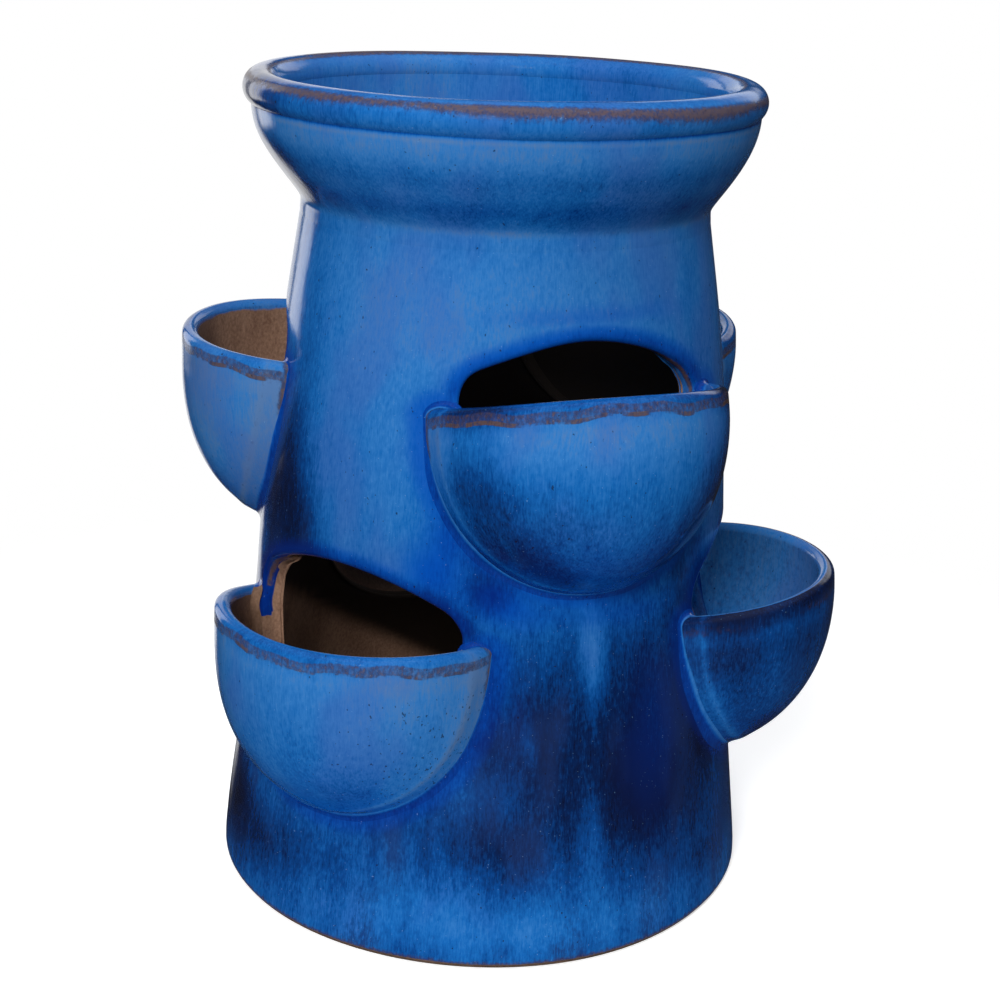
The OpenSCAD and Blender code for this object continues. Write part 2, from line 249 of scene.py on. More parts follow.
# The inside of wall and collar: one wall in, thicker towards the crease, limited by the rolled rim's inner side
def innerForm(turn, z):
    share = clip((z - jar["neck"]) / (collar["crease"] - jar["neck"]), 0, 1)
    flared = collarRadius(z) - jar["wall"] - (collar["topWall"] - jar["wall"]) * share + handPull(turn, z)
    inside = softMax(wallSurface(turn, z) - jar["wall"], flared, collar["innerFillet"])
    edge = beadMiddle(turn) - beadThick(turn) + collar["rimGap"]
    return -softMax(-inside, -edge, collar["rimFillet"])


# Distance of points outside the wall's face, and the direction away from it, from the face's slopes
def wallDistance(points):
    r = np.hypot(points[..., 0], points[..., 1])
    turn = np.arctan2(points[..., 0], -points[..., 1])
    z = points[..., 2]
    probe = 1e-4
    face = wallSurface(turn, z)
    upSlope = (wallSurface(turn, z + probe) - wallSurface(turn, z - probe)) / (2 * probe)
    roundSlope = (wallSurface(turn + probe, z) - wallSurface(turn - probe, z)) / (2 * probe) / r
    out = stack([sin(turn), -cos(turn), 0 * z], axis=-1)
    side = stack([cos(turn), sin(turn), 0 * z], axis=-1)
    away = out - side * roundSlope[..., None] - array([0, 0, 1.0]) * upSlope[..., None]
    size = np.linalg.norm(away, axis=-1)
    return (r - face) / size, away / size[..., None]


# A bowl's shell in section, at an angle a from 0 at the lip to a quarter turn at the bottom: the distance from its
# axis goes with the cosine, and the drop below its rim with the sine to the power of its fullness
def bowlCurve(p, a, inner=False):
    thick = shell["wall"] if inner else 0.0
    drop = shell["lip"] + (p["depth"] - thick - shell["lip"]) * sin(a) ** p["fullness"]
    return (p["radius"] - thick) * cos(a), drop


# The round lip in section, at an angle b from 0 at its outer side to half a turn at its inner side
def lipCurve(p, b):
    lip = shell["lip"]
    return p["radius"] - lip + lip * cos(b), lip - lip * sin(b)


# How far a lip sags towards its left end, fading out below the rim
def lipSag(p, round_, drop):
    return p["sag"] * ease(-round_, 0.7, 1.75) * (1 - ease(drop, 0.0, 0.07))


# A bowl's tilt, its rim's distance from the jar's axis, and its sideways and outward directions
def bowlAxes(p):
    turn = radians(p["turn"])
    reach = wallRadius(array(p["rim"])) - p["inset"]
    sideWay, outWay = array([cos(turn), sin(turn), 0]), array([sin(turn), -cos(turn), 0])
    return radians(p["tilt"]), reach, sideWay, outWay


# Places a bowl's section point on the jar: round is the angle about the bowl's own axis from its outward side
def onBowl(p, q, drop, round_):
    drop = drop + lipSag(p, round_, drop)
    tilt, reach, sideWay, outWay = bowlAxes(p)
    side, ahead = q * sin(round_), q * cos(round_)
    out = reach + ahead * cos(tilt) + drop * sin(tilt)
    up = p["rim"] + ahead * sin(tilt) - drop * cos(tilt)
    return stack([side * sideWay[0] + out * outWay[0], side * sideWay[1] + out * outWay[1], up], axis=-1)


# The whole section as one line, from the outer bottom over the lip to the inner bottom
def sectionLine(p, count):
    a = linspace(pi / 2, 0, count)
    b = linspace(0, pi, count // 3)[1:-1]
    lines = [bowlCurve(p, a), lipCurve(p, b), bowlCurve(p, a[::-1], True)]
    return stack([concatenate([line[k] for line in lines]) for k in (0, 1)], axis=-1)


# Points in a bowl's own terms: distance from its axis, drop below its rim, angle about the axis, and the
# directions in which the first two grow
def inBowl(p, points):
    tilt, reach, sideWay, outWay = bowlAxes(p)
    upWay = array([0, 0, 1.0])
    side, ahead, up = points @ sideWay, points @ outWay - reach, points[..., 2] - p["rim"]
    flat = ahead * cos(tilt) + up * sin(tilt)
    drop = ahead * sin(tilt) - up * cos(tilt)
    round_ = np.arctan2(side, flat)
    q = maximum(np.hypot(side, flat), 1e-9)
    along = (side / q)[..., None] * sideWay + (flat / q)[..., None] * (cos(tilt) * outWay + sin(tilt) * upWay)
    return q, drop - lipSag(p, round_, drop), round_, along, sin(tilt) * outWay - cos(tilt) * upWay


# Distance of points outside a bowl's shell, and the direction away from it, by its section's nearest stretch
def shellDistance(p, points, count=170):
    q, drop, _, along, down = inBowl(p, points)
    line = sectionLine(p, count)
    start, run = line[:-1], np.diff(line, axis=0)
    here = stack([q, drop], axis=-1)[..., None, :]
    share = clip(((here - start) * run).sum(-1) / (run ** 2).sum(-1), 0, 1)
    gap = here - start - run * share[..., None]
    best = np.argmin((gap ** 2).sum(-1), axis=-1)
    gap = np.take_along_axis(gap, best[..., None, None], axis=-2)[..., 0, :]
    straight = unit(stack([-run[:, 1], run[:, 0]], axis=-1))[best]
    size = np.linalg.norm(gap, axis=-1)
    sign = np.where((gap * straight).sum(-1) >= 0, 1.0, -1.0)
    way = np.where((size > 2e-5)[..., None], gap / maximum(size, 1e-9)[..., None] * sign[..., None], straight)
    return sign * size, way[..., :1] * along + way[..., 1:] * down


# Halves a range until low and high close on the place where test turns from true to false
def bisect(test, low, high, tries=30):
    for _ in range(tries):
        middle = (low + high) / 2
        yes = test(middle)
        low, high = np.where(yes, middle, low), np.where(yes, high, middle)
    return (low + high) / 2


arch = dict(rise=0.034, endRadius=0.022, drop=0.008, middle=-0.01,
            roll=0.0046, sillRoll=0.0022, innerRoll=0.0015)


# Half the width of a bowl's inside where it meets the wall at the rim, less the ledge of clay beside the hole
def halfWidth(p):
    inside, face = p["radius"] - shell["wall"], wallRadius(array(p["rim"]))
    reach = face - p["inset"]
    ahead = (reach ** 2 + face ** 2 - inside ** 2) / (2 * reach)
    return float(sqrt(face ** 2 - ahead ** 2)) - shell["ledge"]


# A hole's outline seen from in front: a flat arch of three arcs over a round sill, pinched towards its left end
# and leaning by a share of the distance from its middle
def holeOutline(p):
    w, tight, rise = halfWidth(p), arch["endRadius"], arch["rise"]
    end = w - tight
    crown = (end ** 2 + rise ** 2 - tight ** 2) / (2 * (rise - tight))
    join = np.arctan2(crown - rise, end)
    a, b, c = linspace(0, join, 160), linspace(join, pi - join, 500), linspace(pi, 2 * pi, 500)
    right = stack([end + tight * cos(a), tight * sin(a)], -1)
    top = stack([crown * cos(b), rise - crown + crown * sin(b)], -1)
    left = right[::-1] * array([-1, 1])
    sill = stack([w * cos(c), -arch["drop"] + w * sin(c)], -1)
    line = concatenate([right, top[1:-1], left, sill])
    line[:, 1] *= 1 - p["pinch"] * ease(-line[:, 0], 0.0, 0.058) * (line[:, 1] > 0)
    line[:, 1] += (p["lean"] * line[:, 0] + p["lift"]) * ease(line[:, 1], -0.004, 0.014)
    return line


# The outline's point in each direction from its middle, and the outward direction of its edge there
def holeEdge(p, direction):
    line = holeOutline(p)
    middle = array([0, arch["middle"]])
    angle = np.arctan2(line[:, 1] - middle[1], line[:, 0])
    order = np.argsort(angle)
    reach = np.hypot(line[:, 0], line[:, 1] - middle[1])[order]
    look = lambda a: np.interp(turnBetween(a, 0), angle[order], reach, period=2 * pi)
    spot = lambda a: middle + look(a)[..., None] * stack([cos(a), sin(a)], -1)
    way = unit(spot(direction + 0.02) - spot(direction - 0.02))
    return spot(direction), stack([way[..., 1], -way[..., 0]], -1)


# Distance of wall places from the nearest point of a hole's outline, and 1 for places far from it
def holeDistance(p, turn, z):
    line = holeOutline(p)[::6]
    offset = turnBetween(turn, radians(p["turn"]))
    x = wallRadius(z) * sin(clip(offset, -1.5, 1.5))
    away = np.full(x.shape, 1.0)
    near = (abs(offset) < 1.2) & (abs(z - p["rim"]) < 0.13)
    place = stack([x[near], z[near] - p["rim"]], -1)
    away[near] = np.linalg.norm(place[:, None, :] - line[None], axis=-1).min(axis=1)
    return away


print("forms ready")


bands = dict(foot=0.006, skirt=0.002, footRoll=0.0012, lowCells=0.092, highCells=0.345,
             joint=0.219, jointWave=0.003, jointTurn=84,
             footRows=34, cellRows=52, neckRows=16, ringLayers=20, insideLayers=9, cutRings=14)
cells = dict(  # left and right limit in degrees
    upper_front=(-40.5, 82.5), upper_back=(82.5, 199.5), upper_left=(199.5, 319.5),
    lower_front=(-97.5, 24.0), lower_right=(24.0, 142.5), lower_back=(142.5, 262.5),
)
columnStep = 2 * pi / jar["columns"]


# Height of the joint between the two thrown sections: level, with three gentle waves
def jointHeight(turn):
    return bands["joint"] + bands["jointWave"] * cos(3 * (turn - radians(bands["jointTurn"])))


# Wall points at turns and heights, some depth under the outer face, with that depth kept as a field
def wallGrid(sheet, turn, z, depth, flip=False, cut=0.0):
    turn, z, depth, cut = np.broadcast_arrays(turn, z, depth, cut)
    points = onJar(turn, wallSurface(turn, z) - depth, z)
    sheet.add(points, dict(depth=depth, turn=turn, z=z, cut=cut), True, flip)


# Rows of one band, outside and inside, each from its own height up to a common one
def wallBand(sheet, turns, lowOut, lowIn, high, rows):
    share = linspace(0, 1, rows + 1)[:, None]
    wallGrid(sheet, turns, lowOut + (high - lowOut) * share, 0.0)
    wallGrid(sheet, turns, lowIn + (high - lowIn) * share, jar["wall"], flip=True)


# One cell: rings of points from its four sides along the inside to the hole, over the hole's inner corner, cut
# face and rolled edge, and back outside, each point on the ray from the hole's middle to a point of the sides.
# The inner corner's rings run from the cut face to the inside, so there is a fold of 1.5 mm behind the cut face.
def wallCell(sheet, name, low, high):
    p = pockets[name]
    left, right = cells[name]
    middle = radians(left + (p["turn"] - left) % 360)
    turns = radians(left) + columnStep * np.arange(int(round(radians(right - left) / columnStep)) + 1)
    up = linspace(0, 1, bands["cellRows"] + 1)
    side = lambda t: low(t) + (high(t) - low(t)) * up
    still = np.ones(len(up) - 1)
    turnAll = concatenate([turns[:-1], turns[-1] * still, turns[:0:-1], turns[0] * still])
    zAll = concatenate([low(turns[:-1]), side(turns[-1])[:-1], high(turns[:0:-1]), side(turns[0])[:0:-1]])
    flatX = wallRadius(array(p["rim"])) * (turnAll - middle)
    spot, away = holeEdge(p, np.arctan2(zAll - p["rim"] - arch["middle"], flatX))
    roll = arch["sillRoll"] + (arch["roll"] - arch["sillRoll"]) * ease(spot[:, 1], -0.012, 0.016)
    inner = arch["innerRoll"]

    # A ring at a distance from the outline and a depth under the face, on sides that slant with the depth
    def ring(distance, depth):
        x = spot[:, 0] + away[:, 0] * distance
        slope = p["slantLeft"] * ease(-x, 0.035, 0.055) - p["slantRight"] * ease(x, 0.035, 0.055)
        x = x + slope * maximum(depth - 0.002, 0)
        z = p["rim"] + spot[:, 1] + away[:, 1] * distance
        turn = middle + np.arcsin(x / (wallSurface(middle + x / 0.13, z) - depth))
        return turn, z, depth + 0 * x

    # Rings at shares of the way from one ring to the cell's sides, all at one depth
    def spread(start, shares, depth):
        return [(start[0] + (turnAll - start[0]) * s, start[1] + (zAll - start[1]) * s, depth + 0 * zAll)
                for s in shares]

    quarter = lambda count: linspace(0, pi / 2, count)
    rings = [ring(inner * (1 - cos(a)), jar["wall"] - inner * (1 - sin(a))) for a in quarter(7)]
    rings += [ring(0.0, (jar["wall"] - inner) * (1 - share) + roll * share) for share in (0.34, 0.67)]
    rings += [ring(roll * (1 - cos(a)), roll * (1 - sin(a))) for a in quarter(9)]
    inside = spread(rings[0], linspace(0, 1, bands["insideLayers"] + 1)[:0:-1], jar["wall"])
    outside = spread(rings[-1], linspace(0, 1, bands["ringLayers"] + 1)[1:] ** 1.5, 0.0)
    rings = inside + rings + outside
    cut = np.zeros((len(rings), 1))
    cut[len(inside):len(inside) + bands["cutRings"]] = 1
    wallGrid(sheet, *(stack([r[k] for r in rings]) for k in range(3)), flip=True, cut=cut)


# Closes a ring of the wall at one height, outer face to inner face
def wallCap(sheet, turns, z, flip):
    wallGrid(sheet, turns, z, linspace(0, jar["wall"], 5)[:, None], flip=flip)


# Both sections of the wall, each closed, with the surface's own direction on their shared edges
def buildWall():
    turns = columnStep * np.arange(jar["columns"]) + radians(cells["lower_front"][0])
    level = lambda z: (lambda t: z + 0 * t)
    foot, skirt, roll, neck = bands["foot"], bands["skirt"], bands["footRoll"], jar["neck"]
    lower, upper = Sheet(), Sheet()
    a = linspace(0, pi / 2, 6)[:, None]
    wallGrid(lower, turns, skirt + roll * (1 - cos(a)), roll * (1 - sin(a)))
    under = array([(jar["wall"], foot), (0.007, foot), (0.004, foot), (roll, foot),
                   (roll, 0.0045), (roll, 0.0035), (roll, skirt)])        # depth and height along the underside
    wallGrid(lower, turns, under[:, 1:], under[:, :1])
    wallBand(lower, turns, skirt + roll, foot, bands["lowCells"], bands["footRows"])
    for name in ("lower_front", "lower_right", "lower_back"):
        wallCell(lower, name, level(bands["lowCells"]), jointHeight)
    wallCap(lower, turns, jointHeight(turns), False)
    wallCap(upper, turns, jointHeight(turns), True)
    for name in ("upper_front", "upper_back", "upper_left"):
        wallCell(upper, name, jointHeight, level(bands["highCells"]))
    wallBand(upper, turns, bands["highCells"], bands["highCells"], neck, bands["neckRows"])
    wallCap(upper, turns, level(neck)(turns), False)
    made = []
    for name, sheet in (("lower_wall_thrown", lower), ("upper_wall_thrown", upper)):
        points, four, three, fields = sheet.arrays()
        normals = vertexNormals(points, four, three)
        edge = (abs(fields["z"] - jointHeight(fields["turn"])) < 1e-6) | (fields["z"] > neck - 1e-6)
        onFace = (fields["depth"] < 1e-5) | (fields["depth"] > jar["wall"] - 1e-5)
        outwards = wallDistance(points)[1] * np.where(fields["depth"] < 1e-5, 1.0, -1.0)[:, None]
        made.append((name, (points, four, three, fields), np.where((edge & onFace)[:, None], outwards, normals)))
    return made


# A loop of distances from the axis and heights at each turn, closed both ways
def buildRing(loop, columns=360):
    turns = 2 * pi * np.arange(columns) / columns
    r, z = loop(turns)
    share = np.broadcast_to(linspace(0, 1, r.shape[0])[:, None], r.shape)
    r, z, share = (concatenate([f, f[:1]]) for f in (r, z, share))
    sheet = Sheet()
    sheet.add(onJar(turns + 0 * r, r, z), dict(share=share, turn=turns + 0 * r, z=z), closed=True)
    return sheet.arrays()


# The collar: up the outside from 12 mm under the neck, where it is sunk into the wall's face, to the rolled rim's
# circle, across inside the rim, down the inside and back through the wall's top
def collarLoop(turns):
    z = concatenate([linspace(0.3726, 0.3926, 36), linspace(0.3936, 0.4355, 60)])[:, None]
    sunk = lambda z: 0.0004 * (1 - ease(z, 0.373, 0.38))
    circle = sqrt(maximum(bead["radius"] ** 2 - (z - bead["middle"]) ** 2, 0))
    out = outerForm(turns, z) - sunk(z)
    out = np.where(z > collar["crease"], minimum(out, bead["centre"] + circle + 0.0002), out)
    down = concatenate([z[:-2], linspace(z[-2, 0], 0.44, 8)[:, None]])[::-1]
    inside = innerForm(turns, down) + sunk(down)
    return concatenate([out, inside]), concatenate([z, down]) + 0 * turns


# The rolled rim: a circle round a middle that isn't quite level
def beadLoop(turns):
    a = (2 * pi * np.arange(56) / 56)[:, None]
    thick = beadThick(turns)
    top = bead["middle"] + 0.0004 * sin(2 * turns - 1)
    return beadMiddle(turns) + thick * cos(a), top + thick * sin(a)


foot = dict(inside=0.126, height=0.00595, edge=0.0014, wave=0.0005, gap=0.0001)


# The foot ring: bare clay with round edges, just inside the skirt of glaze
def footLoop(turns):
    edge = foot["edge"]
    a = linspace(0, pi / 2, 7)[:, None]
    out = wallSurface(turns, array(0.003)) - bands["footRoll"] - foot["gap"]
    inside = foot["inside"] + foot["wave"] * sin(3 * turns)
    r = concatenate([inside + 0 * a[:1], inside + edge * (1 - cos(a[:-1])),
                     out - edge * (1 - sin(a)), out + 0 * a[:2]])
    z = concatenate([[[foot["height"]]], edge * (1 - sin(a[:-1])),
                     edge * (1 - cos(a)), [[0.0035], [foot["height"]]]])
    return r, z + 0 * turns


bowl = dict(columns=151, outsideRows=46, lipRows=19, insideRows=38, sunk=0.003, endDepth=0.0056,
            wave=0.0005, ripple=0.0003, ridge=0.0007, lipWave=0.0006)


# How deep a bowl's section point lies under the wall's face
def depthUnder(p, q, drop, round_):
    return -wallDistance(onBowl(p, q, drop, round_))[0]


# One bowl: for each direction round its axis its section, from under the wall's face up the outside, over the lip
# and down the inside. Its outside has slow waves and a low ridge beside the seam.
def buildBowl(p):
    ways = array([-1, 1])
    shallow = lambda r: depthUnder(p, p["radius"] - shell["lip"], shell["lip"], ways * r) < bowl["endDepth"]
    widest = bisect(shallow, np.zeros(2), np.full(2, pi))
    round_ = linspace(-widest[0], widest[1], bowl["columns"])

    def meridianEnd(inner):
        outside = lambda a: depthUnder(p, *bowlCurve(p, a, inner), round_) < bowl["sunk"]
        return maximum(bisect(outside, np.zeros(len(round_)), np.full(len(round_), pi / 2)), 0.002)

    down = lambda n: linspace(1, 0, n)[:, None]
    b = pi * (1 - down(bowl["lipRows"])[1:-1]) + 0 * round_
    sections = [bowlCurve(p, meridianEnd(False) * down(bowl["outsideRows"])), lipCurve(p, b),
                bowlCurve(p, meridianEnd(True) * (1 - down(bowl["insideRows"])), True)]
    q, drop = (concatenate([s[k] for s in sections]) for k in (0, 1))
    zone = concatenate([0 * sections[0][0], b / pi, 0 * sections[2][0] + 1])
    around = round_ + 0 * q
    gap = wallDistance(onBowl(p, q, drop, around))[0]
    wave = bowl["wave"] * sin(2.1 * round_ + p["turn"]) * cos(30 * drop) + bowl["ripple"] * sin(5 * round_ + 1)
    ridge = bowl["ridge"] * bell(gap, 0.0105, 0.0035) * ease(drop, 0.004, 0.012)
    lipWave = bowl["lipWave"] * sin(3 * round_ + p["rim"] * 40) * (1 - ease(drop, 0.0, 0.03))
    points = onBowl(p, q + (wave + ridge) * ease(drop, 0.0, 0.02) * (zone < 0.5), drop + lipWave, around)
    back = points[-1] + (points[0] - points[-1]) * linspace(0, 1, 5)[1:, None, None]
    points = concatenate([points, back])
    pad = lambda f: concatenate([f, np.repeat(f[-1:], 4, axis=0)])
    fields = dict(drop=pad(drop), zone=pad(zone), round=pad(around), gap=pad(gap))
    sheet = Sheet()
    sheet.add(points, fields)
    sheet.closeEnds(points, fields)
    return sheet.arrays()


coil = dict(ball=0.0085, lipBall=0.0032, endBall=0.0004, spacing=0.0013, arcRows=12, insideTurn=0.5,
            dive=0.0003, under=0.0016, taper=0.038, fade=0.003)


# The line where a bowl meets the wall's face, one side, from its underside over the lip to its inside, and the
# numbers of the lip's first and last point
def seamHalf(p, way):
    def along(inner, round_):
        outside = lambda a: depthUnder(p, *bowlCurve(p, a, inner), way * round_) < 0
        end = bisect(outside, 0 * round_, 0 * round_ + pi / 2)
        return onBowl(p, *bowlCurve(p, end, inner), way * round_)

    b = linspace(0, pi, 60)
    lipRound = bisect(lambda r: depthUnder(p, *lipCurve(p, b), way * r) < 0, 0 * b, 0 * b + pi)
    lip = onBowl(p, *lipCurve(p, b), way * lipRound)
    outside = along(False, lipRound[0] * sin(linspace(0, pi / 2, 260))[:-1])
    inside = along(True, linspace(lipRound[-1], lipRound[-1] - coil["insideTurn"], 60)[1:])
    return concatenate([outside, lip, inside]), (len(outside), len(outside) + len(lip) - 1)


# One coil: at each step along the seam, the arc between the two touches of a ball on wall and shell. The ball is
# smaller under the bowl and at the lip, and shrinks to nothing inside.
def buildCoil(p):
    half, lipAt = seamHalf(p, 1)
    line = concatenate([seamHalf(p, -1)[0][:0:-1], half])
    gone = concatenate([[0], np.cumsum(np.linalg.norm(np.diff(line, axis=0), axis=1))])
    length = gone[-1]
    lipStart, lipEnd = (gone[len(half) - 1 + k] - length / 2 for k in lipAt)
    where = linspace(0, length, int(length / coil["spacing"]))
    seam = stack([np.interp(where, gone, line[:, k]) for k in range(3)], axis=-1)
    forward = unit(np.gradient(seam, axis=0))
    for _ in range(3):
        forward[1:-1] = unit(forward[:-2] + forward[1:-1] * 2 + forward[2:])
    fromMiddle = abs(where - length / 2)
    uneven = 0.55 + 0.45 * ease(fromMiddle, 0.0, 0.07)
    uneven = uneven + 0.1 * sin(9 * where / length * pi + p["turn"]) + 0.06 * sin(23 * where / length * pi)
    full = 1 - ease(fromMiddle, lipStart - coil["taper"], lipStart)
    ball = coil["lipBall"] + (coil["ball"] * uneven - coil["lipBall"]) * full
    ball = ball + (coil["endBall"] - ball) * ease(fromMiddle, lipEnd, length / 2)
    centre = seam + ball[:, None] * (wallDistance(seam)[1] + shellDistance(p, seam)[1])
    for _ in range(14):  # the ball moves until it touches both and is level with its seam point
        toWall, wallWay = wallDistance(centre)
        toShell, shellWay = shellDistance(p, centre)
        table = stack([wallWay, shellWay, forward], axis=1)
        miss = stack([ball - toWall, ball - toShell, -((centre - seam) * forward).sum(-1)], axis=-1)
        move = np.linalg.solve(table + 1e-9 * np.eye(3), miss[..., None])[..., 0]
        size = np.linalg.norm(move, axis=-1, keepdims=True)
        centre = centre + move * minimum(1, 0.004 / maximum(size, 1e-9))
    wallWay, shellWay = wallDistance(centre)[1], shellDistance(p, centre)[1]
    share = linspace(0, 1, coil["arcRows"] + 1)[:, None, None]
    apart = maximum(np.arccos(clip((wallWay * shellWay).sum(-1), -1, 1)), 0.02)[None, :, None]
    arc = -(sin((1 - share) * apart) * wallWay + sin(share * apart) * shellWay) / sin(apart)
    surface = centre + ball[:, None] * arc
    under = seam - (wallWay + shellWay) * coil["under"]
    table = concatenate([surface[:1] - wallWay * coil["dive"], surface[1:-1],
                         surface[-1:] - shellWay * coil["dive"], under[None]])
    table = concatenate([table, table[:1]])
    fields = dict(share=concatenate([share[:, 0], [[0.5]], [[0]]]) + 0 * where,
                  past=ease(fromMiddle, lipEnd, lipEnd + coil["fade"]) + 0 * table[..., 0])
    sheet = Sheet()
    sheet.add(table, fields)
    sheet.closeEnds(table, fields)
    return sheet.arrays()


# A sum of bells over spots of turn and height, spread in both, and how much
def sumBells(turn, z, spots):
    total = 0 * z
    for atTurn, atZ, wide, tall, amount in spots:
        total = total + amount * bell(turnBetween(turn, radians(atTurn)), 0, radians(wide)) * bell(z, atZ, tall)
    return total


# Dark runs and pale patches of glaze; some dark ones are painted shade, where the jar turns from the light at the
# left and right, low down, and beside the upper left pocket
runs = [  # how much darker
    (34, 0.13, 24, 0.055, 0.3), (38, 0.08, 16, 0.03, 0.24), (8, 0.115, 9, 0.05, 0.24),
    (60, 0.11, 13, 0.055, 0.24), (-4, 0.232, 9, 0.03, 0.12), (-64, 0.105, 10, 0.03, 0.12),
    (-38, 0.048, 30, 0.016, 0.14), (0, 0.066, 16, 0.022, 0.18), (52, 0.205, 10, 0.035, 0.2),
    (-62, 0.24, 13, 0.05, 0.52), (84, 0.05, 26, 0.026, 0.2), (-96, 0.14, 14, 0.05, 0.15),
    (142, 0.15, 26, 0.055, 0.24), (120, 0.09, 9, 0.04, 0.18), (202, 0.05, 28, 0.02, 0.15),
    (-103, 0.16, 26, 0.045, 0.26), (170, 0.12, 8, 0.045, 0.16), (245, 0.12, 9, 0.045, 0.16),
    (8, 0.335, 40, 0.03, -0.05), (-16, 0.345, 26, 0.03, -0.06), (-22, 0.29, 16, 0.045, -0.02),
    (10, 0.022, 50, 0.012, -0.12), (200, 0.335, 50, 0.04, -0.06), (24, 0.168, 2.6, 0.026, -0.32),
    (0, 0.205, 5, 0.011, 0.3), (3, 0.095, 9, 0.018, -0.1), (9.5, 0.125, 1.3, 0.011, -0.34),
    (30, 0.105, 26, 0.05, 0.1), (24, 0.075, 3, 0.03, -0.22), (-12, 0.18, 7, 0.03, 0.16),
    (-80, 0.048, 18, 0.032, 0.55), (60, 0.03, 16, 0.018, 0.12), (48, 0.35, 14, 0.04, 0.02),
    (-14, 0.045, 14, 0.02, -0.14), (-64, 0.408, 12, 0.025, 0.26), (-56, 0.03, 14, 0.022, 0.18),
    (-50, 0.215, 8, 0.03, 0.22), (-55, 0.35, 12, 0.05, 0.1),
]
pools = [  # how much blue
    (-9, 0.236, 6, 0.016, 0.9), (1, 0.205, 6, 0.011, 1.0), (-14, 0.214, 7, 0.014, 0.9),
    (-10, 0.19, 5, 0.02, 0.5), (8, 0.196, 9, 0.01, 0.5), (30, 0.192, 14, 0.008, 0.5),
    (58, 0.2, 6, 0.02, 0.6), (-7, 0.268, 4, 0.018, 0.5), (40, 0.12, 10, 0.05, 0.5),
    (5, 0.15, 5, 0.04, 0.3), (24, 0.345, 26, 0.006, 0.5),
]
tones = dict(jar=0.42, low=0.14, high=-0.06, inside=0.38, bead=0.46, bowl=0.4, bowlInside=0.34, coil=0.74)


# The jar's shade outside: its runs, in part painted shade, paler towards the neck, on its edge and below the rim, and
# painted shade under the collar
def jarTone(turn, z):
    tone = tones["jar"] + sumBells(turn, z, runs) + tones["high"] * ease(z, 0.3, 0.38)
    # Painted shade under the collar's overhang, a darker band of glaze across its middle, and paler below the rim
    under = 0.2 * bell(z, 0.396, 0.008) + 0.12 * bell(z, 0.411, 0.006) - 0.1 * bell(z, 0.426, 0.005)
    neck = -0.18 * bell(z, 0.385, 0.0022) * (0.6 + 0.4 * sin(5 * turn + 2))
    return tone + under + neck + 0.04 * sin(2 * turn + 0.6) * ease(z, 0.39, 0.41)


